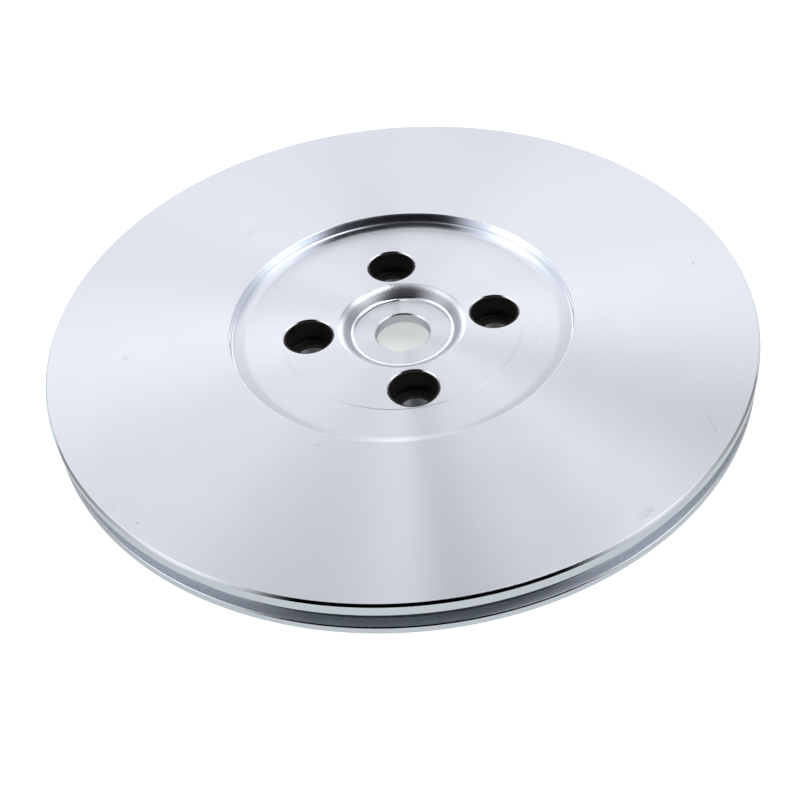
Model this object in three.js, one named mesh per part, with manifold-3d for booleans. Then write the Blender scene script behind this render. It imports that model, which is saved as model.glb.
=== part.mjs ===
// Back plate of a centrifugal supercharger: the turned aluminium disc that closes the compressor
// housing behind the wheel. Millimetres, +Z is the face towards the wheel, and the origin is the
// centre of the rear boss face that the plate stands on and is clamped by.
//
// Pieces: the plate itself, a flanged bush that the shaft passes through, the seal ring round that
// bush, the retaining ring that holds the bush from behind, and a lining cup in each screw hole.

import * as THREE from 'three';
import { mergeVertices } from 'three/addons/utils/BufferGeometryUtils.js';
import Module from 'manifold-3d';

const wasm = await Module();
wasm.setup();

// ---- Driving dimensions -------------------------------------------------------------------------

// Plate rim
const OUTER_DIAMETER = 203;
const RIM_THICKNESS = 11.4;
const FACE_CHAMFER = 0.65;
const REAR_CHAMFER = 0.5;

// Seal groove in the rim, made for a ring of 3.53 mm section
const GROOVE_WIDTH = 4.75;
const GROOVE_DEPTH = 2.85;
const GROOVE_SETBACK = 3.9; // from the front face to the groove
const GROOVE_EDGE_BREAK = 0.3;

// Pocket for the back of the compressor wheel
const RECESS_DIAMETER = 99.3;
const RECESS_DEPTH = 3.1;
const RECESS_EDGE_BREAK = 0.2;
const RECESS_FOOT_RADIUS = 0.4;
const PAD_HEIGHT = 0.1; // the middle of the pocket floor stands this much proud

// Pocket in the hub, around the shaft: its wall rolls down over a convex lip to a small hollow foot
const BORE_DIAMETER = 16;
const HUB_FACE_WIDTH = 5.95; // flat ring from the bore to the foot of the wall
const LIP_RADIUS = 7.4;
const LIP_SLOPE = 20; // degrees from level, where the lip leaves the pad
const WALL_SLOPE = 52; // degrees from level, where the lip meets the foot
const WALL_FOOT_RADIUS = 1.83;

// Shaft bush, let in from behind
const BORE_LENGTH = 3.3;
const BORE_CHAMFER = 0.35;
const BUSH_NOSE_LENGTH = 1.6;
const BUSH_SHOULDER_WIDTH = 3.55;
const BUSH_FLANGE_LENGTH = 4.2;
const BUSH_SKIRT_THICKNESS = 5.2;
const BUSH_EDGE_BREAK = 0.3;

// Seal ring round the bush flange
const BUSH_SEAL_WIDTH = 1.78;
const BUSH_SEAL_THICKNESS = 1.6;

// Internal retaining ring behind the bush
const RETAINER_THICKNESS = 1.5;
const RETAINER_WIDTH = 3.4;
const RETAINER_GROOVE_DEPTH = 1.3;
const RETAINER_OPENING = THREE.MathUtils.degToRad(46);
const RETAINER_LUG_RADIUS = 2.2;
const RETAINER_EYE_DIAMETER = 2;
const RETAINER_BACKING = 1.5; // metal left between the ring's groove and the rear face

// Screw holes and their lining cups
const SCREW_COUNT = 4;
const SCREW_TURN = THREE.MathUtils.degToRad(3);
const COUNTERBORE_DIAMETER = 15; // at the mouth
const COUNTERBORE_DEPTH = 7.5; // down to the seat of the screw head
const MOUTH_CHAMFER = 0.3;
const SCREW_HOLE_DIAMETER = 9;
const HUB_TO_SCREW_LAND = 1.05; // metal left between the hub pocket and a hole mouth
const SCREW_TO_PAD_LAND = 0.25; // metal left between a hole mouth and the edge of the pad
const CUP_WALL = 0.55;
const CUP_FLOOR = 1;

// Rear boss
const BOSS_WALL = 3; // metal left outside the screw holes
const BOSS_FOOT_RADIUS = 1;
const POCKET_MOUTH_CHAMFER = 0.5;

// Gap kept between pieces that touch on the real plate
const FIT_GAP = 0.3;

// Facets
const PLATE_SEGMENTS = 72;
const HUB_SEGMENTS = 48;
const HOLE_SEGMENTS = 32;
const LIP_STEPS = 4;
const WALL_FOOT_STEPS = 2;
const FILLET_STEPS = 3;
const CUT_OVERRUN = 2; // how far a cutting tool runs past the face it cuts

// ---- Derived sizes ------------------------------------------------------------------------------

const outerRadius = OUTER_DIAMETER / 2;
const grooveRadius = outerRadius - GROOVE_DEPTH;
const recessRadius = RECESS_DIAMETER / 2;
const boreRadius = BORE_DIAMETER / 2;
const lipSlope = THREE.MathUtils.degToRad(LIP_SLOPE);
const wallSlope = THREE.MathUtils.degToRad(WALL_SLOPE);
const hubWallRun = LIP_RADIUS * (Math.sin(wallSlope) - Math.sin(lipSlope)) + WALL_FOOT_RADIUS * Math.sin(wallSlope);
const hubPocketDepth = LIP_RADIUS * (Math.cos(lipSlope) - Math.cos(wallSlope))
  + WALL_FOOT_RADIUS * (1 - Math.cos(wallSlope));
const hubFaceRadius = boreRadius + HUB_FACE_WIDTH;
const hubPocketRadius = hubFaceRadius + hubWallRun;
const bushPocketRadius = hubFaceRadius + BUSH_SHOULDER_WIDTH;
const bushFlangeRadius = bushPocketRadius - FIT_GAP;
const retainerGrooveRadius = bushPocketRadius + RETAINER_GROOVE_DEPTH;
const counterboreRadius = COUNTERBORE_DIAMETER / 2 - MOUTH_CHAMFER;
const screwCircleRadius = hubPocketRadius + HUB_TO_SCREW_LAND + COUNTERBORE_DIAMETER / 2;
const padRadius = screwCircleRadius + COUNTERBORE_DIAMETER / 2 + SCREW_TO_PAD_LAND;
const bossRadius = padRadius + BOSS_WALL;

// Heights, from the rear face up: the hub's stack of pieces sets the thickness at the centre
const retainerGrooveBottom = RETAINER_BACKING;
const retainerBottom = retainerGrooveBottom + FIT_GAP;
const retainerTop = retainerBottom + RETAINER_THICKNESS;
const bushRear = retainerTop + FIT_GAP;
const bushFlangeFront = bushRear + BUSH_FLANGE_LENGTH;
const shoulderLevel = bushFlangeFront + FIT_GAP;
const hubFaceLevel = shoulderLevel + BUSH_NOSE_LENGTH;
const padLevel = hubFaceLevel + hubPocketDepth;
const recessFloorLevel = padLevel - PAD_HEIGHT;
const faceLevel = recessFloorLevel + RECESS_DEPTH;
const rimRearLevel = faceLevel - RIM_THICKNESS;
const grooveTop = faceLevel - GROOVE_SETBACK;
const grooveBottom = grooveTop - GROOVE_WIDTH;
const cupTop = padLevel - MOUTH_CHAMFER;
const cupSeat = padLevel - COUNTERBORE_DEPTH;
const cupBottom = cupSeat - CUP_FLOOR;

// ---- Helpers ------------------------------------------------------------------------------------

const point = (radius, height) => new THREE.Vector2(radius, height);

// Points along a circular arc in the profile plane, both ends included
function arc(centreRadius, centreHeight, size, startDegrees, endDegrees, steps) {
  return Array.from({ length: steps + 1 }, (_, i) => {
    const angle = THREE.MathUtils.degToRad(startDegrees + ((endDegrees - startDegrees) * i) / steps);
    return point(centreRadius + size * Math.cos(angle), centreHeight + size * Math.sin(angle));
  });
}

// A closed profile turned round the Z axis
function turned(profile, segments) {
  const geometry = new THREE.LatheGeometry([...profile, profile[0].clone()], segments);
  geometry.rotateX(Math.PI / 2);
  return geometry;
}

function toManifold(geometry) {
  const bare = geometry.clone();
  bare.deleteAttribute('normal');
  bare.deleteAttribute('uv');
  const merged = mergeVertices(bare, 1e-4);
  return new wasm.Manifold(new wasm.Mesh({
    numProp: 3,
    vertProperties: new Float32Array(merged.attributes.position.array),
    triVerts: new Uint32Array(merged.index.array),
  }));
}

function toGeometry(solid) {
  const mesh = solid.getMesh();
  const geometry = new THREE.BufferGeometry();
  geometry.setAttribute('position', new THREE.BufferAttribute(new Float32Array(mesh.vertProperties), 3));
  geometry.setIndex(new THREE.BufferAttribute(new Uint32Array(mesh.triVerts), 1));
  geometry.computeVertexNormals();
  return geometry;
}

function piece(name, geometry, material) {
  const mesh = new THREE.Mesh(geometry, material);
  mesh.name = name;
  return mesh;
}

// ---- Materials ----------------------------------------------------------------------------------

const turnedAluminium = new THREE.MeshStandardMaterial({ color: 0xd3d7de, roughness: 0.22, metalness: 1 });
const groundSteel = new THREE.MeshStandardMaterial({ color: 0xc9cdd2, roughness: 0.2, metalness: 1 });
const springSteel = new THREE.MeshStandardMaterial({ color: 0x3a3b3d, roughness: 0.45, metalness: 1 });
const blackedSteel = new THREE.MeshStandardMaterial({ color: 0x1c1b18, roughness: 0.5, metalness: 0.6 });
const sealRubber = new THREE.MeshStandardMaterial({ color: 0x1a1a1b, roughness: 0.7, metalness: 0 });

// ---- Plate --------------------------------------------------------------------------------------

// From the pad down to the hub face: the lip's centre is in the metal, the foot's is above the face
function hubWallProfile() {
  const lipCentreRadius = hubPocketRadius + LIP_RADIUS * Math.sin(lipSlope);
  const lipCentreLevel = padLevel - LIP_RADIUS * Math.cos(lipSlope);
  const lip = arc(lipCentreRadius, lipCentreLevel, LIP_RADIUS, 90 + LIP_SLOPE, 90 + WALL_SLOPE, LIP_STEPS);
  const foot = arc(hubFaceRadius, hubFaceLevel + WALL_FOOT_RADIUS, WALL_FOOT_RADIUS,
    -90 + WALL_SLOPE, -90, WALL_FOOT_STEPS);
  return [...lip, ...foot.slice(1)];
}

function plateProfile() {
  const outside = [
    point(bushPocketRadius + POCKET_MOUTH_CHAMFER, 0),
    point(bossRadius - REAR_CHAMFER, 0),
    point(bossRadius, REAR_CHAMFER),
    ...arc(bossRadius + BOSS_FOOT_RADIUS, rimRearLevel - BOSS_FOOT_RADIUS, BOSS_FOOT_RADIUS, 180, 90, FILLET_STEPS),
    point(outerRadius - REAR_CHAMFER, rimRearLevel),
    point(outerRadius, rimRearLevel + REAR_CHAMFER),
    point(outerRadius, grooveBottom - GROOVE_EDGE_BREAK),
    point(outerRadius - GROOVE_EDGE_BREAK, grooveBottom),
    point(grooveRadius, grooveBottom),
    point(grooveRadius, grooveTop),
    point(outerRadius - GROOVE_EDGE_BREAK, grooveTop),
    point(outerRadius, grooveTop + GROOVE_EDGE_BREAK),
    point(outerRadius, faceLevel - FACE_CHAMFER),
    point(outerRadius - FACE_CHAMFER, faceLevel),
  ];
  const footCentre = recessRadius - RECESS_FOOT_RADIUS;
  const front = [
    point(recessRadius + RECESS_EDGE_BREAK, faceLevel),
    point(recessRadius, faceLevel - RECESS_EDGE_BREAK),
    ...arc(footCentre, recessFloorLevel + RECESS_FOOT_RADIUS, RECESS_FOOT_RADIUS, 0, -90, FILLET_STEPS),
    point(padRadius + PAD_HEIGHT, recessFloorLevel),
    point(padRadius, padLevel),
    ...hubWallProfile(),
  ];
  const inside = [
    point(hubFaceRadius, shoulderLevel),
    point(bushPocketRadius, shoulderLevel),
    point(bushPocketRadius, bushRear),
    point(retainerGrooveRadius, bushRear),
    point(retainerGrooveRadius, retainerGrooveBottom),
    point(bushPocketRadius, retainerGrooveBottom),
    point(bushPocketRadius, POCKET_MOUTH_CHAMFER),
  ];
  return [...outside, ...front, ...inside];
}

// The stepped tool that cuts one screw hole: chamfered mouth, seat for the cup, plain hole below
function screwHoleTool() {
  const top = padLevel + CUT_OVERRUN;
  const mouthRadius = COUNTERBORE_DIAMETER / 2 + CUT_OVERRUN;
  return turned([
    point(0, -CUT_OVERRUN),
    point(SCREW_HOLE_DIAMETER / 2, -CUT_OVERRUN),
    point(SCREW_HOLE_DIAMETER / 2, cupBottom - FIT_GAP),
    point(counterboreRadius, cupBottom - FIT_GAP),
    point(counterboreRadius, padLevel - MOUTH_CHAMFER),
    point(mouthRadius, top),
    point(0, top),
  ], HOLE_SEGMENTS);
}

function screwCentre(index) {
  const angle = SCREW_TURN + (index * 2 * Math.PI) / SCREW_COUNT;
  return new THREE.Vector3(screwCircleRadius * Math.cos(angle), screwCircleRadius * Math.sin(angle), 0);
}

function backPlate() {
  let solid = toManifold(turned(plateProfile(), PLATE_SEGMENTS));
  for (let index = 0; index < SCREW_COUNT; index += 1) {
    const { x, y, z } = screwCentre(index);
    solid = solid.subtract(toManifold(screwHoleTool().translate(x, y, z)));
  }
  return piece('back_plate', toGeometry(solid), turnedAluminium);
}

// ---- Shaft bush and its rings -------------------------------------------------------------------

const bushSealMiddle = (bushRear + bushFlangeFront) / 2;
const bushSealGrooveRadius = bushFlangeRadius - BUSH_SEAL_THICKNESS - FIT_GAP;

function shaftBush() {
  const noseRadius = hubFaceRadius - FIT_GAP;
  const skirtRadius = bushFlangeRadius - BUSH_SKIRT_THICKNESS;
  const boreRear = hubFaceLevel - BORE_LENGTH;
  const sealGrooveHalf = BUSH_SEAL_WIDTH / 2 + FIT_GAP;
  return piece('shaft_bush', turned([
    point(boreRadius, boreRear),
    point(skirtRadius, boreRear),
    point(skirtRadius, bushRear),
    point(bushFlangeRadius - BUSH_EDGE_BREAK, bushRear),
    point(bushFlangeRadius, bushRear + BUSH_EDGE_BREAK),
    point(bushFlangeRadius, bushSealMiddle - sealGrooveHalf),
    point(bushSealGrooveRadius, bushSealMiddle - sealGrooveHalf),
    point(bushSealGrooveRadius, bushSealMiddle + sealGrooveHalf),
    point(bushFlangeRadius, bushSealMiddle + sealGrooveHalf),
    point(bushFlangeRadius, bushFlangeFront),
    point(noseRadius, bushFlangeFront),
    point(noseRadius, hubFaceLevel),
    point(boreRadius + BORE_CHAMFER, hubFaceLevel),
    point(boreRadius, hubFaceLevel - BORE_CHAMFER),
  ], HUB_SEGMENTS), groundSteel);
}

// A ring of nearly round section, squeezed a little between the bush and the plate
function bushSealRing() {
  const halfWidth = BUSH_SEAL_WIDTH / 2;
  const halfThickness = BUSH_SEAL_THICKNESS / 2;
  const middle = bushFlangeRadius - halfThickness;
  const corners = 10;
  const section = Array.from({ length: corners }, (_, i) => {
    const angle = (2 * Math.PI * i) / corners;
    return point(middle + halfThickness * Math.cos(angle), bushSealMiddle + halfWidth * Math.sin(angle));
  });
  return piece('bush_seal_ring', turned(section, HUB_SEGMENTS), sealRubber);
}

// An open spring ring with an eyed lug at each end, its opening towards -Y
function bushRetainingRing() {
  const outer = retainerGrooveRadius - FIT_GAP;
  const inner = outer - RETAINER_WIDTH;
  const start = -Math.PI / 2 + RETAINER_OPENING / 2;
  const end = (3 * Math.PI) / 2 - RETAINER_OPENING / 2;
  const extrusion = { depth: RETAINER_THICKNESS, bevelEnabled: false, curveSegments: HUB_SEGMENTS };

  const band = new THREE.Shape();
  band.absarc(0, 0, outer, start, end, false);
  band.absarc(0, 0, inner, end, start, true);
  band.closePath();
  let solid = toManifold(new THREE.ExtrudeGeometry(band, extrusion));

  const lugCentreRadius = outer - FIT_GAP - RETAINER_GROOVE_DEPTH - RETAINER_LUG_RADIUS;
  for (const angle of [start, end]) {
    const lug = new THREE.CylinderGeometry(
      RETAINER_LUG_RADIUS, RETAINER_LUG_RADIUS, RETAINER_THICKNESS, HOLE_SEGMENTS / 2);
    const eye = new THREE.CylinderGeometry(
      RETAINER_EYE_DIAMETER / 2, RETAINER_EYE_DIAMETER / 2, RETAINER_THICKNESS + CUT_OVERRUN, HOLE_SEGMENTS / 2);
    for (const shape of [lug, eye]) {
      shape.rotateX(Math.PI / 2);
      shape.translate(lugCentreRadius * Math.cos(angle), lugCentreRadius * Math.sin(angle), RETAINER_THICKNESS / 2);
    }
    solid = solid.add(toManifold(lug)).subtract(toManifold(eye));
  }
  const ring = piece('bush_retaining_ring', toGeometry(solid), springSteel);
  ring.position.z = retainerBottom;
  return ring;
}

// ---- Lining cups of the screw holes -------------------------------------------------------------

function screwCup(index) {
  const outer = counterboreRadius - FIT_GAP;
  const cup = piece(`screw_cup_${index + 1}`, turned([
    point(SCREW_HOLE_DIAMETER / 2, cupBottom),
    point(outer, cupBottom),
    point(outer, cupTop),
    point(outer - CUP_WALL, cupTop),
    point(outer - CUP_WALL, cupSeat),
    point(SCREW_HOLE_DIAMETER / 2, cupSeat),
  ], HOLE_SEGMENTS), blackedSteel);
  cup.position.copy(screwCentre(index));
  return cup;
}

// ---- Assembly -----------------------------------------------------------------------------------

const hub = new THREE.Group();
hub.add(shaftBush(), bushSealRing(), bushRetainingRing());

const cups = new THREE.Group();
for (let index = 0; index < SCREW_COUNT; index += 1) cups.add(screwCup(index));

const assembly = new THREE.Group();
assembly.add(backPlate(), hub, cups);

export default assembly;
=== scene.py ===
from math import cos, pi, radians, sin

import bpy
import numpy as np
from mathutils import Matrix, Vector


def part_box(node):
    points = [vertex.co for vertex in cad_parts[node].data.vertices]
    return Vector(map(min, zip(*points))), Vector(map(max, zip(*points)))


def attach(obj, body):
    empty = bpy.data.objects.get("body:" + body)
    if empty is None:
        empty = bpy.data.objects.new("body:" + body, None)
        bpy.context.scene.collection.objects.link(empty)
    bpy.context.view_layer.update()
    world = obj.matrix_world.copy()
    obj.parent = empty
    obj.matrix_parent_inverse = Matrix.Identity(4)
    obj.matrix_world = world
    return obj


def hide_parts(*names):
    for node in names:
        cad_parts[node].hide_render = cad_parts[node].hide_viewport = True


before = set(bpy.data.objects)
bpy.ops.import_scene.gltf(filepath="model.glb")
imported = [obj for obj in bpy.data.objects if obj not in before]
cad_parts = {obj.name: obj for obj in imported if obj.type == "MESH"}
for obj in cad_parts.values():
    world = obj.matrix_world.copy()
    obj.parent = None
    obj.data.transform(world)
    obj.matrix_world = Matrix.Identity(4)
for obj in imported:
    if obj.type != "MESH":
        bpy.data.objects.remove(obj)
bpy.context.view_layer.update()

# Back plate of a centrifugal supercharger, standing on its rear boss. Lengths are in millimetres and are
# turned to metres where a mesh is made. +Z is the face towards the compressor wheel.

MM = 0.001

# ---- Sizes ---------------------------------------------------------------------------------------

def box_mm(node):
    """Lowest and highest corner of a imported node, in millimetres."""
    low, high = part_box(node)
    return np.array(low) / MM, np.array(high) / MM


plate_low, plate_high = box_mm("back_plate")
bush_low, bush_high = box_mm("shaft_bush")
seal_low, seal_high = box_mm("bush_seal_ring")
retainer_low, retainer_high = box_mm("bush_retaining_ring")
cup_boxes = [box_mm(f"screw_cup_{number}") for number in (1, 2, 3, 4)]

FIT_GAP = 0.3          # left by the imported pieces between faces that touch
HAIRLINE = 0.02        # what is left of it here
EDGE = 0.08            # radius of a deburred edge
JOINT_EDGE = 0.015     # the bush was faced in place, so its joint is nearly closed

OUTER_RADIUS = plate_high[0]
FACE = plate_high[2]
RIM_REAR = FACE - 11.4
FACE_CHAMFER = 0.65
REAR_CHAMFER = 0.5
GROOVE_TOP = FACE - 3.9
GROOVE_BOTTOM = GROOVE_TOP - 4.75
GROOVE_RADIUS = OUTER_RADIUS - 2.85
GROOVE_EDGE = 0.3

RECESS_RADIUS = 49.65
RECESS_FLOOR = FACE - 3.1
RECESS_EDGE = 0.2
RECESS_FOOT = 0.4
PAD_STEP = 0.1
PAD = RECESS_FLOOR + PAD_STEP
PAD_WALL_RUN = 0.03

cup_centres = [(low + high)[:2] / 2 for low, high in cup_boxes]
SCREW_CIRCLE = np.hypot(*cup_centres[0])
SCREW_TURN = np.arctan2(cup_centres[0][1], cup_centres[0][0])
CUP_RADIUS = (cup_boxes[0][1][0] - cup_boxes[0][0][0]) / 2 + FIT_GAP - HAIRLINE
CUP_WALL = 0.4
CUP_LOW = cup_boxes[0][0][2]
CUP_HIGH = cup_boxes[0][1][2]
CUP_FLOOR = 1
CUP_SEAT = CUP_LOW + CUP_FLOOR
HOLE_RADIUS = CUP_RADIUS + HAIRLINE
MOUTH_CHAMFER = 0.3
HOLE_MOUTH = HOLE_RADIUS + MOUTH_CHAMFER
SHANK_RADIUS = 4.5
SHANK_CHAMFER = 0.3
SCREW_TO_PAD_LAND = 0.25
PAD_RADIUS = SCREW_CIRCLE + HOLE_MOUTH + SCREW_TO_PAD_LAND
BOSS_WALL = 3
BOSS_RADIUS = PAD_RADIUS + BOSS_WALL
BOSS_FOOT = 1

BUSH_FRONT = bush_high[2]
BUSH_REAR = bush_low[2]
FLANGE_RADIUS = bush_high[0] + FIT_GAP - HAIRLINE
FLANGE_FRONT = BUSH_REAR + 4.2 + FIT_GAP - HAIRLINE
FLANGE_CHAMFER = 0.3
BORE_RADIUS = 8
BORE_CHAMFER = 0.35
BORE_REAR = BUSH_FRONT - 3.3
SKIRT_RADIUS = bush_high[0] - 5.2
HUB_FACE_RADIUS = BORE_RADIUS + 5.95
LIP_RADIUS = 7.4
LIP_SLOPE = radians(20)
WALL_SLOPE = radians(52)
WALL_FOOT_RADIUS = 1.83
HUB_WALL_RUN = LIP_RADIUS * (sin(WALL_SLOPE) - sin(LIP_SLOPE)) + WALL_FOOT_RADIUS * sin(WALL_SLOPE)
HUB_POCKET_RADIUS = HUB_FACE_RADIUS + HUB_WALL_RUN
NOSE_RADIUS = HUB_FACE_RADIUS - HAIRLINE / 2
SEAL_LEVEL = (seal_low[2] + seal_high[2]) / 2
SEAL_HALF_WIDTH = (seal_high[2] - seal_low[2]) / 2
SEAL_HALF_THICKNESS = 0.8
SEAL_GROOVE = FLANGE_RADIUS - 2 * SEAL_HALF_THICKNESS
RETAINER_GROOVE = retainer_high[1] + FIT_GAP
RETAINER_GROOVE_LOW = retainer_low[2] - FIT_GAP + HAIRLINE

TURN_STEPS = 384       # columns round the plate, a multiple of the number of screws
SIDE_STEPS = 12        # columns along each side of a screw's quarter
SMALL_TURN_STEPS = 256

# ---- Surfaces ------------------------------------------------------------------------------------

def rounded(corners, steps=2, margin=0.1, closed=False):
    """Outline through (radius, height, rounding) corners. Each corner gives way to the arc that
    touches both of its sides: the arc starts and ends rounding / tan(half angle) from the corner, and
    its centre lies rounding / sin(half angle) along the line that halves the angle. One more point, a
    margin further out on each side, keeps the flats flat when they are shaded. An open outline keeps
    its two ends as they are."""
    corners = np.array(corners, float)
    here, size = corners[:, :2], corners[:, 2]
    before = np.roll(here, 1, 0) - here
    after = np.roll(here, -1, 0) - here
    reach = np.minimum(np.linalg.norm(before, axis=1), np.linalg.norm(after, axis=1)) / 2
    u = before / np.linalg.norm(before, axis=1)[:, None]
    v = after / np.linalg.norm(after, axis=1)[:, None]
    half = np.arccos(np.clip((u * v).sum(1), -1, 1)) / 2
    trim = size / np.tan(half)
    middle = (u + v) / np.linalg.norm(u + v, axis=1)[:, None]
    centre = here + middle * (size / np.sin(half))[:, None]
    start, end = here + u * trim[:, None], here + v * trim[:, None]
    sweep = (pi - 2 * half)[:, None, None]
    share = np.linspace(0, 1, steps + 1)[None, :, None]
    to_start, to_end = (start - centre)[:, None], (end - centre)[:, None]
    arcs = centre[:, None] + (
        np.sin((1 - share) * sweep) * to_start + np.sin(share * sweep) * to_end) / np.sin(sweep)
    spare = np.minimum(margin, np.maximum(reach - trim, 0) * 0.8)[:, None]
    points = np.concatenate([(start + u * spare)[:, None], arcs, (end + v * spare)[:, None]], axis=1)
    if closed:
        return points.reshape(-1, 2)
    return np.vstack([here[:1], points[1:-1].reshape(-1, 2), here[-1:]])


def turned(profile, steps, start=0.0):
    """Surface of revolution: the point at profile place p and turn t is (r(p) cos t, r(p) sin t,
    z(p))."""
    turn = start + np.arange(steps) * 2 * pi / steps
    radius, height = profile[:, :1], profile[:, 1:]
    return np.stack([radius * np.cos(turn), radius * np.sin(turn), height + 0 * turn], axis=-1)


def woven(grid, closed_rows=False):
    """Four-sided faces of a grid of points whose columns run round to the first again."""
    rows, columns = grid.shape[:2]
    number = np.arange(rows * columns).reshape(rows, columns)
    if closed_rows:
        number = np.vstack([number, number[:1]])
    beside = np.roll(number, -1, 1)
    return np.stack([number[:-1], beside[:-1], beside[1:], number[1:]], axis=-1).reshape(-1, 4)


def joined(parts):
    """One list of points and faces from several, with points that fall together made one."""
    points = np.vstack([p for p, _ in parts])
    starts = np.cumsum([0] + [len(p) for p, _ in parts[:-1]])
    faces = np.vstack([f + s for (_, f), s in zip(parts, starts)])
    keys = np.round(points, 4) + 0.0
    _, first, index = np.unique(keys, axis=0, return_index=True, return_inverse=True)
    return points[first], index.reshape(-1)[faces]


def surface(*grids, closed_rows=False):
    """One list of points and faces from grids whose edges meet."""
    return joined([(g.reshape(-1, 3), woven(g, closed_rows)) for g in grids])


def made(name, shape, material, slot, *nodes):
    """A smooth mesh piece from points in millimetres and four-sided faces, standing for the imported
    nodes."""
    points, faces = shape
    mesh = bpy.data.meshes.new(name)
    mesh.from_pydata((points * MM).tolist(), [], faces.tolist())
    mesh.shade_smooth()
    mesh.materials.append(material)
    piece = bpy.data.objects.new(name, mesh)
    bpy.context.scene.collection.objects.link(piece)
    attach(piece, "root")
    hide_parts(*nodes)
    return piece

# ---- Materials -----------------------------------------------------------------------------------

FEED = 0.25            # grooves of the turning tool, a little coarser than the real feed so that they show
CHATTER = 0.45         # spacing of the streaks that run down the hub wall
CLOUD = 14.0           # size of the faint patches left by wiping
GRIT = 0.5             # size of the specks that small marks are made of
EASED = {"interpolation_type": "SMOOTHSTEP"}      # 3 t^2 - 2 t^3 between the two ends of a Map Range


def linear(colour):
    """Linear red, green, blue and alpha of an sRGB hex colour such as "d3d7de"."""
    parts = np.array([int(colour[i:i + 2], 16) for i in (0, 2, 4)]) / 255
    return (*np.where(parts <= 0.04045, parts / 12.92, ((parts + 0.055) / 1.055) ** 2.4), 1.0)


def add(tree, kind, *inputs, give=0, **more):
    """One node of a kind, and its output called give, or the node itself when give is None. Inputs
    come in order, or by name with _ for a space, and other keywords, in small letters, are the node's
    settings. An input that is another node's output is linked to it."""
    node = tree.nodes.new("ShaderNode" + kind)
    for key, value in more.items():
        if key[0].islower():
            setattr(node, key, value)
    named = {key.replace("_", " "): value for key, value in more.items() if not key[0].islower()}
    for key, value in (*enumerate(inputs), *named.items()):
        if isinstance(value, bpy.types.NodeSocket):
            tree.links.new(value, node.inputs[key])
        else:
            node.inputs[key].default_value = value
    return node if give is None else node.outputs[give]


def between(tree, value, low, high, edge):
    """1 from low to high and 0 outside, eased over the edge."""
    above = add(tree, "MapRange", value, low - edge, low + edge, 0.0, 1.0, **EASED)
    below = add(tree, "MapRange", value, high - edge, high + edge, 1.0, 0.0, **EASED)
    return add(tree, "Math", above, below, operation="MULTIPLY")


def toward(tree, value, target, share):
    """value moved towards target by share: value + (target - value) * share."""
    difference = add(tree, "Math", target, value, operation="SUBTRACT")
    return add(tree, "Math", difference, share, value, operation="MULTIPLY_ADD")


def bare(name, colour, metallic):
    """A new material, its tree and its Principled shader."""
    material = bpy.data.materials.new(name)
    material.use_nodes = True
    tree = material.node_tree
    tree.nodes.clear()
    shader = add(tree, "BsdfPrincipled", give=None, Base_Color=linear(colour), Metallic=metallic)
    add(tree, "OutputMaterial", shader.outputs["BSDF"], give=None)
    return material, tree, shader


def shaded(tree, shader, colour, share):
    """Makes the base colour a share of itself."""
    tint = add(tree, "VectorMath", linear(colour)[:3], Scale=share, operation="SCALE")
    tree.links.new(tint, shader.inputs["Base Color"])


def turned_metal(name, colour, face_roughness, wall_roughness, detail=None):
    """Lathe-turned metal, bright and uncoated. The tool leaves fine grooves round the axis, and they
    spread a reflection along the profile and hardly at all round it, so light stands on a flat face
    in rays. The tangent is the profile's direction: around x normal, where around is (-y, x, 0).
    Walls and chamfers were cut with the side of the tool and are close to a mirror. detail may change
    the roughness and shade."""
    material, tree, shader = bare(name, colour, 1.0)
    space = add(tree, "TexCoord", give=None)
    place, normal = space.outputs["Object"], space.outputs["Normal"]
    flat = add(tree, "VectorMath", place, (1, 1, 0), operation="MULTIPLY")
    radius = add(tree, "VectorMath", flat, operation="LENGTH", give="Value")
    around = add(tree, "VectorMath", (0, 0, 1), flat, operation="CROSS_PRODUCT")
    along = add(tree, "VectorMath", around, normal, operation="CROSS_PRODUCT")
    tangent = add(tree, "VectorMath", along, (0, 0, 0.0002), operation="ADD")
    tangent = add(tree, "VectorMath", tangent, operation="NORMALIZE")

    grooves = add(tree, "TexNoise", W=radius, Scale=1 / (FEED * MM), Detail=3.0, noise_dimensions="1D")
    cloud = add(tree, "TexNoise", Vector=place, Scale=1 / (CLOUD * MM), Detail=3.0)
    upright = add(tree, "Math", add(tree, "SeparateXYZ", normal, give="Z"), operation="ABSOLUTE")
    roughness = add(tree, "MapRange", upright, 0.985, 0.999, wall_roughness, face_roughness, **EASED)
    uneven = add(tree, "MapRange", cloud, 0.3, 0.7, 0.98, 1.02)
    roughness = add(tree, "Math", roughness, uneven, operation="MULTIPLY")
    shade = add(tree, "Math", add(tree, "MapRange", grooves, 0.3, 0.7, 0.985, 1.0),
                add(tree, "MapRange", cloud, 0.3, 0.7, 0.985, 1.0), operation="MULTIPLY")
    if detail:
        roughness, shade = detail(tree, place, radius, roughness, shade)
    tree.links.new(roughness, shader.inputs["Roughness"])
    shaded(tree, shader, colour, shade)
    shader.inputs["Anisotropic"].default_value = 1
    tree.links.new(tangent, shader.inputs["Tangent"])
    return material


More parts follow.
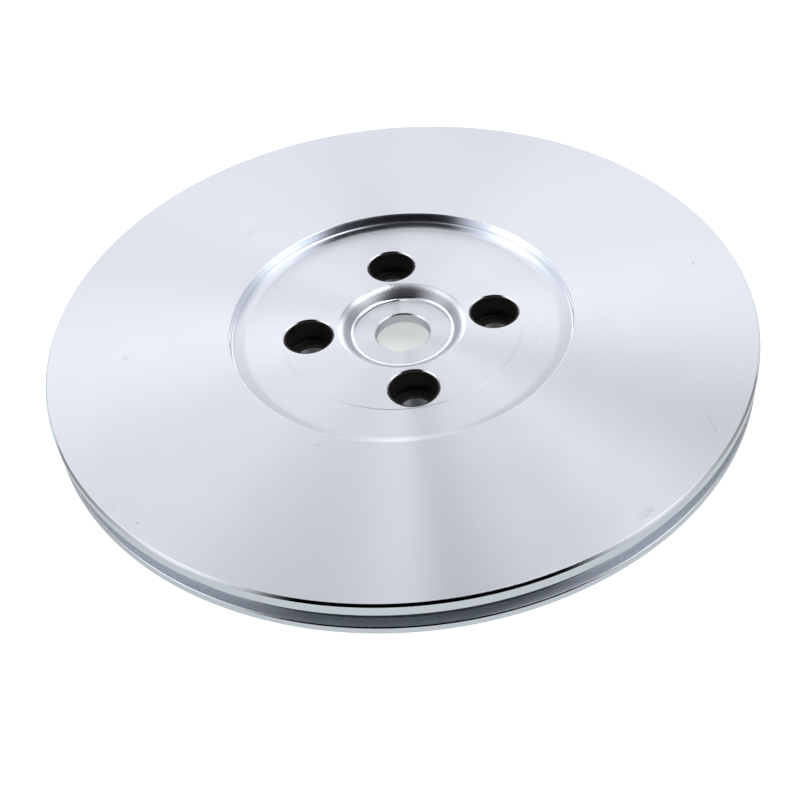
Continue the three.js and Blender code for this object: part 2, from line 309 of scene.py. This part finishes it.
MARKS = [              # x, y, half length, half width, turn in degrees, strength
    (-44.0, 48.0, 3.0, 0.25, 48, 0.35),
    (54.0, -82.0, 4.0, 1.5, 35, 0.2),
    (88.0, 10.5, 1.1, 0.5, 80, 0.5),
    (77.0, -54.5, 5.0, 0.35, 100, 0.3),
    (-79.0, -6.5, 1.8, 1.2, 0, 0.15),
    (-25.0, -48.0, 0.45, 0.4, 0, 0.6),
    (37.6, -12.0, 0.45, 0.4, 0, 0.6),
    (-70.0, -68.0, 0.5, 0.35, 45, 0.6),
    (-76.5, -62.0, 0.4, 0.3, 45, 0.5),
    (-60.0, -77.5, 0.45, 0.3, 40, 0.5),
]
CHATTER_START = HUB_FACE_RADIUS + 1.2
CHATTER_END = HUB_POCKET_RADIUS - 1.4
LIP_ROUGHNESS = 0.2
DRILLED_ROUGHNESS = 0.55
GROOVE_ROUGHNESS = 0.2


def chattered_wall_with_painted_shade(tree, place, radius, roughness, shade):
    """The steep half of the hub wall was cut with a form tool that chattered. It is rougher than the lip
    above it, up to a ragged edge, and faint streaks run down it: a pattern on the length round the axis,
    which is the angle times the wall's middle radius. There its base colour is also cut to about half,
    in the same streaks: painted shade for the dark reflection on that part of the wall. The lip is bright
    and close to a mirror."""
    parts = add(tree, "SeparateXYZ", place, give=None)
    angle = add(tree, "Math", parts.outputs["Y"], parts.outputs["X"], operation="ARCTAN2")
    length = add(tree, "Math", angle, (HUB_FACE_RADIUS + HUB_POCKET_RADIUS) / 2 * MM, operation="MULTIPLY")
    streaks = add(tree, "TexNoise", W=length, Scale=1 / (CHATTER * MM), Detail=1.0, noise_dimensions="1D")
    ragged = add(tree, "Math", streaks, 0.8 * MM, radius, operation="MULTIPLY_ADD")
    inner = add(tree, "MapRange", radius, CHATTER_START * MM, (CHATTER_START + 0.2) * MM, 0.0, 1.0, **EASED)
    outer = add(tree, "MapRange", ragged, (CHATTER_END - 0.3) * MM, (CHATTER_END + 1.1) * MM, 1.0, 0.0,
                **EASED)
    share = add(tree, "Math", inner, outer, operation="MULTIPLY")
    lip = between(tree, radius, (CHATTER_START + 0.2) * MM, HUB_POCKET_RADIUS * MM, 0.1 * MM)
    roughness = toward(tree, roughness, LIP_ROUGHNESS, lip)
    matt = add(tree, "MapRange", streaks, 0.3, 0.7, 0.3, 0.36)
    # painted shade: the steep wall's base colour is scaled to 0.50-0.57, in streaks
    dull = add(tree, "MapRange", streaks, 0.3, 0.7, 0.5, 0.57)
    shade = add(tree, "Math", shade, toward(tree, 1.0, dull, share), operation="MULTIPLY")
    return toward(tree, roughness, matt, share), shade


def tool_corners_and_painted_groove_shade(tree, place, radius, roughness, shade):
    """Where the tool ran into a corner it dwelt and left a finer surface: on the pocket floor beside
    its wall, and all over the inside of the rim's groove. The groove's inside is also darkened to 0.7
    of its colour: painted shade in the recess."""
    beside = between(tree, radius, (RECESS_RADIUS - 4) * MM, RECESS_RADIUS * MM, 0.8 * MM)
    fine = add(tree, "Math", roughness, 0.6, operation="MULTIPLY")
    roughness = toward(tree, roughness, fine, beside)
    height = add(tree, "SeparateXYZ", place, give="Z")
    level = between(tree, height, GROOVE_BOTTOM * MM, GROOVE_TOP * MM, 0.05 * MM)
    outside = add(tree, "MapRange", radius, (GROOVE_RADIUS - 1) * MM, (GROOVE_RADIUS - 0.5) * MM, 0.0, 1.0)
    groove = add(tree, "Math", level, outside, operation="MULTIPLY")
    # painted shade: the inside of the rim's groove is darkened to 0.7
    shade = add(tree, "Math", shade, toward(tree, 1.0, 0.7, groove), operation="MULTIPLY")
    return toward(tree, roughness, GROOVE_ROUGHNESS, groove), shade


def drilled_holes_with_painted_shade(tree, place, roughness, shade):
    """The screw holes were drilled and are rougher inside; their walls are also darkened to 0.6 of their
    colour, as painted shade in the holes. To find the nearest hole, the plane is turned by SCREW_TURN
    and folded: (x, y) becomes (max(|x|, |y|), min(|x|, |y|)), and all four holes fall on
    (SCREW_CIRCLE, 0)."""
    level = add(tree, "VectorRotate", Vector=place, Angle=-SCREW_TURN, rotation_type="Z_AXIS")
    folded = add(tree, "SeparateXYZ", add(tree, "VectorMath", level, operation="ABSOLUTE"), give=None)
    far = add(tree, "Math", folded.outputs["X"], folded.outputs["Y"], operation="MAXIMUM")
    near = add(tree, "Math", folded.outputs["X"], folded.outputs["Y"], operation="MINIMUM")
    offset = add(tree, "CombineXYZ", add(tree, "Math", far, SCREW_CIRCLE * MM, operation="SUBTRACT"), near)
    reach = add(tree, "VectorMath", offset, operation="LENGTH", give="Value")
    inside = add(tree, "MapRange", reach, (HOLE_RADIUS - 0.3) * MM, (HOLE_RADIUS - 0.1) * MM, 1.0, 0.0,
                 **EASED)
    height = add(tree, "SeparateXYZ", place, give="Z")
    off_rear = add(tree, "MapRange", height, 0.02 * MM, SHANK_CHAMFER * MM, 0.0, 1.0)
    inside = add(tree, "Math", inside, off_rear, operation="MULTIPLY")
    # painted shade: the hole walls are darkened to 0.6
    shade = add(tree, "Math", shade, toward(tree, 1.0, 0.6, inside), operation="MULTIPLY")
    return toward(tree, roughness, DRILLED_ROUGHNESS, inside), shade


def small_marks(tree, place, shade):
    """Soft ovals of dark specks. With u and v the distances from a mark's middle along and across it,
    in half lengths and half widths, its strength falls from 1 near the middle to 0 where sqrt(u^2 +
    v^2) = 1."""
    specks = add(tree, "TexNoise", Vector=place, Scale=1 / (GRIT * MM), Detail=3.0)
    specks = add(tree, "MapRange", specks, 0.35, 0.6, 0.0, 1.0, **EASED)
    for x, y, length, width, turn, strength in MARKS:
        local = add(tree, "Mapping", place, Location=(x * MM, y * MM, FACE * MM),
                    Rotation=(0, 0, radians(turn)),
                    Scale=(length * MM, width * MM, 8 * MM), vector_type="TEXTURE")
        reach = add(tree, "VectorMath", local, operation="LENGTH", give="Value")
        mark = add(tree, "MapRange", reach, 0.2, 1.0, strength, 0.0, **EASED)
        mark = add(tree, "Math", mark, specks, operation="MULTIPLY")
        left_over = add(tree, "Math", 1.0, mark, operation="SUBTRACT")
        shade = add(tree, "Math", shade, left_over, operation="MULTIPLY")
    return shade


def plate_detail(tree, place, radius, roughness, shade):
    """Everything that sets one stretch of the plate apart from the rest of its turned surface."""
    roughness, shade = chattered_wall_with_painted_shade(tree, place, radius, roughness, shade)
    roughness, shade = drilled_holes_with_painted_shade(tree, place, roughness, shade)
    roughness, shade = tool_corners_and_painted_groove_shade(tree, place, radius, roughness, shade)
    return roughness, small_marks(tree, place, shade)


def dull_surface(name, colour, roughness, metallic, patch, darkest):
    """A dull surface with soft patches of a size in millimetres, darker where it is smoother."""
    material, tree, shader = bare(name, colour, metallic)
    place = add(tree, "TexCoord", give="Object")
    patches = add(tree, "TexNoise", Vector=place, Scale=1 / (patch * MM), Detail=4.0)
    uneven = add(tree, "MapRange", patches, 0.3, 0.7, roughness * 0.85, roughness * 1.15)
    tree.links.new(uneven, shader.inputs["Roughness"])
    shaded(tree, shader, colour, add(tree, "MapRange", patches, 0.3, 0.7, darkest, 1.0))
    return material, tree, shader


# bright aluminium as it comes off the lathe: almost white, with rays of light from the turning grooves
aluminium = turned_metal("turned_aluminium", "ecf0f9", 0.29, 0.07, plate_detail)
# steel ground flat with the hub face: the same rays, a little darker, and blurred in the bore
steel = turned_metal("ground_steel", "e2e5ed", 0.27, 0.2)
# black oxide on steel: nearly black, a dull sheen where light grazes it
blacked = dull_surface("blacked_steel", "383631", 0.5, 0.6, 1.2, 0.7)[0]
# moulded nitrile rubber: soft black with a faint bloom
rubber = dull_surface("seal_rubber", "1a1a1b", 0.7, 0.0, 0.6, 0.85)[0]
# phosphated spring steel: dark grey, finely crystalline
spring = dull_surface("spring_steel", "3a3b3d", 0.45, 1.0, 0.8, 0.75)[0]

# ---- Plate ---------------------------------------------------------------------------------------

PAD_RING = PAD_RADIUS - 0.12       # the pad's quarters end here, between the hole mouths and its edge
HUB_RING = HUB_POCKET_RADIUS + 0.5
BOSS_RING = BOSS_RADIUS - 3
MOUTH_RING = HUB_RING             # the same as in front, so that no column crosses the ring


def rim_profile():
    """From the rear boss out round the rim and in over the face, the pocket wall and the pad's edge."""
    return rounded([
        (BOSS_RING, 0, 0),
        (BOSS_RADIUS - REAR_CHAMFER, 0, EDGE),
        (BOSS_RADIUS, REAR_CHAMFER, EDGE),
        (BOSS_RADIUS, RIM_REAR, BOSS_FOOT),
        (OUTER_RADIUS - REAR_CHAMFER, RIM_REAR, EDGE),
        (OUTER_RADIUS, RIM_REAR + REAR_CHAMFER, EDGE),
        (OUTER_RADIUS, GROOVE_BOTTOM - GROOVE_EDGE, EDGE),
        (OUTER_RADIUS - GROOVE_EDGE, GROOVE_BOTTOM, EDGE),
        (GROOVE_RADIUS, GROOVE_BOTTOM, 3 * EDGE),
        (GROOVE_RADIUS, GROOVE_TOP, 3 * EDGE),
        (OUTER_RADIUS - GROOVE_EDGE, GROOVE_TOP, EDGE),
        (OUTER_RADIUS, GROOVE_TOP + GROOVE_EDGE, EDGE),
        (OUTER_RADIUS, FACE - FACE_CHAMFER, EDGE),
        (OUTER_RADIUS - FACE_CHAMFER, FACE, EDGE),
        (RECESS_RADIUS + RECESS_EDGE, FACE, EDGE),
        (RECESS_RADIUS, FACE - RECESS_EDGE, EDGE),
        (RECESS_RADIUS, RECESS_FLOOR, RECESS_FOOT),
        (PAD_RADIUS + PAD_WALL_RUN, RECESS_FLOOR, EDGE / 5),
        (PAD_RADIUS, PAD, EDGE / 5),
        (PAD_RING, PAD, 0),
    ])


def hub_wall(lip_steps=16, foot_steps=10):
    """Radius and height down the hub pocket's wall, by its slope s. On the convex lip the point is
    the lip's centre + LIP_RADIUS * (-sin s, cos s), and on the hollow foot it is the foot's centre +
    WALL_FOOT_RADIUS * (sin s, -cos s). The two meet where both slope at WALL_SLOPE."""
    lip = np.linspace(LIP_SLOPE, WALL_SLOPE, lip_steps + 1)
    foot = np.linspace(WALL_SLOPE, 0, foot_steps + 1)[1:]
    return np.concatenate([
        np.stack([HUB_POCKET_RADIUS + LIP_RADIUS * (sin(LIP_SLOPE) - np.sin(lip)),
                  PAD - LIP_RADIUS * (cos(LIP_SLOPE) - np.cos(lip))], axis=1),
        np.stack([HUB_FACE_RADIUS + WALL_FOOT_RADIUS * np.sin(foot),
                  BUSH_FRONT + WALL_FOOT_RADIUS * (1 - np.cos(foot))], axis=1),
    ])


def hub_profile():
    """From the pad down the hub wall, in to the bush's pocket, past the retaining ring's groove and
    out at the rear."""
    wall = hub_wall()
    top = rounded([(HUB_RING, PAD, 0), (HUB_POCKET_RADIUS, PAD, EDGE), (*wall[1], 0)])[:-1]
    foot = rounded([
        (HUB_FACE_RADIUS + 0.1, BUSH_FRONT, 0),
        (HUB_FACE_RADIUS, BUSH_FRONT, JOINT_EDGE),
        (HUB_FACE_RADIUS, FLANGE_FRONT + HAIRLINE, EDGE),
        (FLANGE_RADIUS + HAIRLINE, FLANGE_FRONT + HAIRLINE, EDGE),
        (FLANGE_RADIUS + HAIRLINE, BUSH_REAR, EDGE),
        (RETAINER_GROOVE, BUSH_REAR, EDGE),
        (RETAINER_GROOVE, RETAINER_GROOVE_LOW, EDGE),
        (FLANGE_RADIUS + HAIRLINE, RETAINER_GROOVE_LOW, EDGE),
        (FLANGE_RADIUS + HAIRLINE, REAR_CHAMFER, EDGE),
        (FLANGE_RADIUS + HAIRLINE + REAR_CHAMFER, 0, EDGE),
        (MOUTH_RING, 0, 0),
    ])
    return np.vstack([top, wall[1:-1], foot])


def quarter_outline(quarter, inner, outer):
    """Closed outline of a quarter of a ring: outer arc, one side, inner arc back, the other side."""
    turn = SCREW_TURN - pi / 4 + np.arange(TURN_STEPS) * 2 * pi / TURN_STEPS
    arc_steps = TURN_STEPS // 4
    ahead = (quarter * arc_steps + np.arange(arc_steps + 1)) % TURN_STEPS
    side = np.linspace(inner, outer, SIDE_STEPS + 1)
    radius = np.concatenate([
        np.full(arc_steps, outer), side[:0:-1], np.full(arc_steps, inner), side[:-1]])
    angle = turn[np.concatenate([
        ahead[:-1], np.full(SIDE_STEPS, ahead[-1]), ahead[:0:-1], np.full(SIDE_STEPS, ahead[0])])]
    return np.stack([radius * np.cos(angle), radius * np.sin(angle)], axis=1)


def screw_hole(quarter):
    """One sheet from the pad's quarter down the counterbore and out over the rear quarter. Each
    column leaves the front outline towards the hole's centre, follows the hole's profile down in that
    direction, and runs straight to its point of the rear outline."""
    centre = cup_centres[quarter]
    front = quarter_outline(quarter, HUB_RING, PAD_RING)
    rear = quarter_outline(quarter, MOUTH_RING, BOSS_RING)
    way = front - centre
    way /= np.linalg.norm(way, axis=1)[:, None]
    profile = rounded([
        (HOLE_MOUTH + 0.09, PAD, 0),
        (HOLE_MOUTH, PAD, EDGE / 2),
        (HOLE_RADIUS, CUP_HIGH, EDGE / 2),
        (HOLE_RADIUS, CUP_LOW - HAIRLINE, EDGE),
        (SHANK_RADIUS, CUP_LOW - HAIRLINE, EDGE),
        (SHANK_RADIUS, SHANK_CHAMFER, EDGE),
        (SHANK_RADIUS + SHANK_CHAMFER, 0, EDGE),
        (SHANK_RADIUS + 1, 0, 0),
    ])
    wall = centre + profile[:, None, :1] * way
    share = np.linspace(0, 1, 4)[:-1, None, None]
    before = front + (wall[0] - front) * share
    after = rear + (wall[-1] - rear) * share[::-1]
    flat = np.concatenate([before, wall, after])
    height = np.concatenate([np.full(3, PAD), profile[:, 1], np.zeros(3)])
    return np.concatenate([flat, np.broadcast_to(height[:, None, None], (*flat.shape[:2], 1))], axis=2)


start = SCREW_TURN - pi / 4
plate = surface(
    turned(rim_profile(), TURN_STEPS, start),
    turned(hub_profile(), TURN_STEPS, start),
    *[screw_hole(quarter) for quarter in range(4)],
)
made("turned_back_plate", plate, aluminium, "turned_aluminium", "back_plate")

# ---- Bush, its seal ring and the screw cups ------------------------------------------------------

def bush_profile():
    """Closed section: the thin bore flange in front, the skirt behind it and the seal's groove
    outside."""
    seal_half = SEAL_HALF_WIDTH + HAIRLINE
    return rounded([
        (BORE_RADIUS, BORE_REAR, EDGE),
        (SKIRT_RADIUS, BORE_REAR, 4 * EDGE),
        (SKIRT_RADIUS, BUSH_REAR, 2 * EDGE),
        (FLANGE_RADIUS - FLANGE_CHAMFER, BUSH_REAR, EDGE),
        (FLANGE_RADIUS, BUSH_REAR + FLANGE_CHAMFER, EDGE),
        (FLANGE_RADIUS, SEAL_LEVEL - seal_half, EDGE),
        (SEAL_GROOVE, SEAL_LEVEL - seal_half, EDGE),
        (SEAL_GROOVE, SEAL_LEVEL + seal_half, EDGE),
        (FLANGE_RADIUS, SEAL_LEVEL + seal_half, EDGE),
        (FLANGE_RADIUS, FLANGE_FRONT, EDGE),
        (NOSE_RADIUS, FLANGE_FRONT, EDGE),
        (NOSE_RADIUS, BUSH_FRONT, JOINT_EDGE),
        (BORE_RADIUS + BORE_CHAMFER, BUSH_FRONT, EDGE / 2),
        (BORE_RADIUS, BUSH_FRONT - BORE_CHAMFER, EDGE / 2),
    ], closed=True)


def seal_profile(steps=24):
    """An ellipse: the round section, squeezed a little across the gap that it fills."""
    angle = np.arange(steps) * 2 * pi / steps
    middle = FLANGE_RADIUS - SEAL_HALF_THICKNESS + HAIRLINE
    reach = SEAL_HALF_THICKNESS - HAIRLINE
    return np.stack([middle + reach * np.cos(angle), SEAL_LEVEL + SEAL_HALF_WIDTH * np.sin(angle)], axis=1)


def cup_profile():
    """Closed section of a lining cup: a thin wall up to the hole's mouth and a floor under the
    screw's head."""
    return rounded([
        (SHANK_RADIUS, CUP_LOW, EDGE),
        (CUP_RADIUS, CUP_LOW, EDGE),
        (CUP_RADIUS, CUP_HIGH, EDGE / 2),
        (CUP_RADIUS - CUP_WALL, CUP_HIGH, EDGE / 2),
        (CUP_RADIUS - CUP_WALL, CUP_SEAT, 2 * EDGE),
        (SHANK_RADIUS, CUP_SEAT, EDGE),
    ], closed=True)


bush = surface(turned(bush_profile(), SMALL_TURN_STEPS), closed_rows=True)
made("ground_shaft_bush", bush, steel, "ground_steel", "shaft_bush")

seal = surface(turned(seal_profile(), SMALL_TURN_STEPS), closed_rows=True)
made("moulded_seal_ring", seal, rubber, "seal_rubber", "bush_seal_ring")

for number, centre in enumerate(cup_centres, start=1):
    cup = turned(cup_profile(), SMALL_TURN_STEPS // 2) + np.array([*centre, 0])
    shape = surface(cup, closed_rows=True)
    made(f"blacked_screw_cup_{number}", shape, blacked, "blacked_steel", f"screw_cup_{number}")

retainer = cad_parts["bush_retaining_ring"]
retainer.data.materials.clear()
retainer.data.materials.append(spring)

# ---- Studio --------------------------------------------------------------------------------------

TENT_COLOUR = "ffffff"
TENT_POWER = 1.22
TENT_BASE = 0.19
TENT_LAMPS = {         # azimuth, elevation, width and height in degrees, and strength
    "roof": (115, 80, 10, 15, 5.0),
    "roof_cloth": (10, 75, 50, 9, 0.6),
    "back_left": (-28, 25, 25, 10, 1.15),
    "back_right": (28, 25, 25, 10, 1.15),
    "back_strip": (0, 60, 3, 16, 1.0),
    "left": (-80, 50, 25, 15, 0.9),
    "right": (90, 55, 20, 6, 2.8),
    "low_left": (-95, 32, 20, 9, 1.1),
    "low_right": (95, 32, 20, 9, 1.1),
}
ROOF_SLOT = (-1, 20, 2, 50, 80, 2)     # left, right, softness, lowest and highest elevation, softness
OPEN_FRONT = (46, 8, 72, 6)            # half width, softness, top, softness
# the glow under the plate is lower than outside it: a painted shadow under the plate
TABLE_GLOW_SEEN = (0.62, 1.1)          # under the plate, outside it
# the glow that reflections see is lower still: painted shade on the table near the plate
TABLE_GLOW_REFLECTED = (0.35, 0.36)


def floor():
    """A wide translucent white table, lit from below. Seen directly it is pure white, except for the
    patches seen through the holes of the plate, where its glow is turned down as a painted shadow under
    the plate. What the plate reflects of it is dimmer everywhere: painted shade on the table near the
    plate."""
    half = 3.0
    material, tree, shader = dull_surface("translucent_white_acrylic", "b9bebb", 0.8, 0.0, 3.0, 0.97)
    place = add(tree, "TexCoord", give="Object")
    radius = add(tree, "VectorMath", place, operation="LENGTH", give="Value")
    outside = add(tree, "MapRange", radius, 0.06, 0.08, 0.0, 1.0, **EASED)
    # painted shadow: the glow seen directly is turned down under the plate
    direct_with_painted_shadow = add(tree, "MapRange", outside, 0.0, 1.0, *TABLE_GLOW_SEEN)
    # painted shade: what the plate reflects of the table glows less
    reflected_painted_shade = add(tree, "MapRange", outside, 0.0, 1.0, *TABLE_GLOW_REFLECTED)
    seen = add(tree, "LightPath", give="Is Camera Ray")
    tree.links.new(toward(tree, reflected_painted_shade, direct_with_painted_shadow, seen), shader.inputs["Emission Strength"])
    shader.inputs["Emission Color"].default_value = linear("eef4f1")
    mesh = bpy.data.meshes.new("table_top")
    corners = [(-half, -half, 0), (half, -half, 0), (half, half, 0), (-half, half, 0)]
    mesh.from_pydata(corners, [], [(0, 1, 2, 3)])
    mesh.materials.append(material)
    table = bpy.data.objects.new("table_top", mesh)
    bpy.context.scene.collection.objects.link(table)


def light_tent():
    """A white cloth tent lit from outside, as brightness by direction. Azimuth is measured from the
    back wall towards the right. Each lamp is a soft oval: strength x exp(-(across^2 + up^2) / 2),
    where across and up are the distances from its middle in widths and heights. A slot in the roof
    and the open front are dark."""
    world = bpy.data.worlds.new("light_tent")
    bpy.context.scene.world = world
    world.use_nodes = True
    tree = world.node_tree
    way = add(tree, "SeparateXYZ", add(tree, "TexCoord", give="Generated"), give=None)
    turn = add(tree, "Math", way.outputs["X"], way.outputs["Y"], operation="ARCTAN2")
    azimuth = add(tree, "Math", turn, operation="DEGREES")
    climb = add(tree, "Math", way.outputs["Z"], operation="ARCSINE")
    elevation = add(tree, "Math", climb, operation="DEGREES")

    light = TENT_BASE
    for middle, level, width, height, strength in TENT_LAMPS.values():
        aside = add(tree, "Math", azimuth, middle, operation="SUBTRACT")
        aside = add(tree, "Math", aside, 180, -180, operation="WRAP")
        rise = add(tree, "Math", elevation, level, operation="SUBTRACT")
        place = add(tree, "CombineXYZ", aside, rise)
        place = add(tree, "VectorMath", place, (1 / width, 1 / height, 0), operation="MULTIPLY")
        square = add(tree, "VectorMath", place, place, operation="DOT_PRODUCT", give="Value")
        power = add(tree, "Math", square, -0.5, operation="MULTIPLY")
        fall = add(tree, "Math", power, operation="EXPONENT")
        light = add(tree, "Math", fall, strength, light, operation="MULTIPLY_ADD")

    left, right, soft, low, high, blur = ROOF_SLOT
    slot = add(tree, "Math", between(tree, azimuth, left, right, soft),
               between(tree, elevation, low, high, blur), operation="MULTIPLY")
    half, soft, top, blur = OPEN_FRONT
    off_back = add(tree, "Math", azimuth, operation="ABSOLUTE")
    below = add(tree, "MapRange", elevation, top - blur, top + blur, 1.0, 0.0, **EASED)
    front = add(tree, "Math", between(tree, off_back, 180 - half, 400, soft), below, operation="MULTIPLY")
    for opening in (slot, front):
        closed = add(tree, "Math", 1.0, opening, operation="SUBTRACT")
        light = add(tree, "Math", light, closed, operation="MULTIPLY")
    light = add(tree, "Math", light, TENT_POWER, operation="MULTIPLY")
    background = tree.nodes["Background"]
    background.inputs["Color"].default_value = linear(TENT_COLOUR)
    tree.links.new(light, background.inputs["Strength"])


def camera():
    """Stands in front of the plate and above it, a little turned off the plate's centre."""
    elevation, distance = radians(40.5), 0.3467
    yaw, pitch, roll = radians(1.752), radians(-4.221), radians(5.76)
    right = np.array([1.0, 0, 0])
    ahead = np.array([0, cos(elevation), -sin(elevation)])
    up = np.array([0, sin(elevation), cos(elevation)])
    turned_ahead = sin(yaw) * right + cos(yaw) * ahead
    x = cos(yaw) * right - sin(yaw) * ahead
    y = cos(pitch) * up - sin(pitch) * turned_ahead
    z = -(sin(pitch) * up + cos(pitch) * turned_ahead)
    axes = [cos(roll) * x - sin(roll) * y, sin(roll) * x + cos(roll) * y, z]
    place = np.array([0, 0, FACE * MM]) - distance * ahead
    data = bpy.data.cameras.new("camera")
    data.sensor_width = 36
    data.lens = 53.8
    data.shift_x = -0.058
    data.clip_start = 0.01
    eye = bpy.data.objects.new("camera", data)
    matrix = np.eye(4)
    matrix[:3, :3] = np.array(axes).T
    matrix[:3, 3] = place
    bpy.context.scene.collection.objects.link(eye)
    eye.matrix_world = Matrix(matrix)
    bpy.context.scene.camera = eye


floor()
light_tent()
camera()
bpy.context.scene.view_settings.view_transform = "Standard"
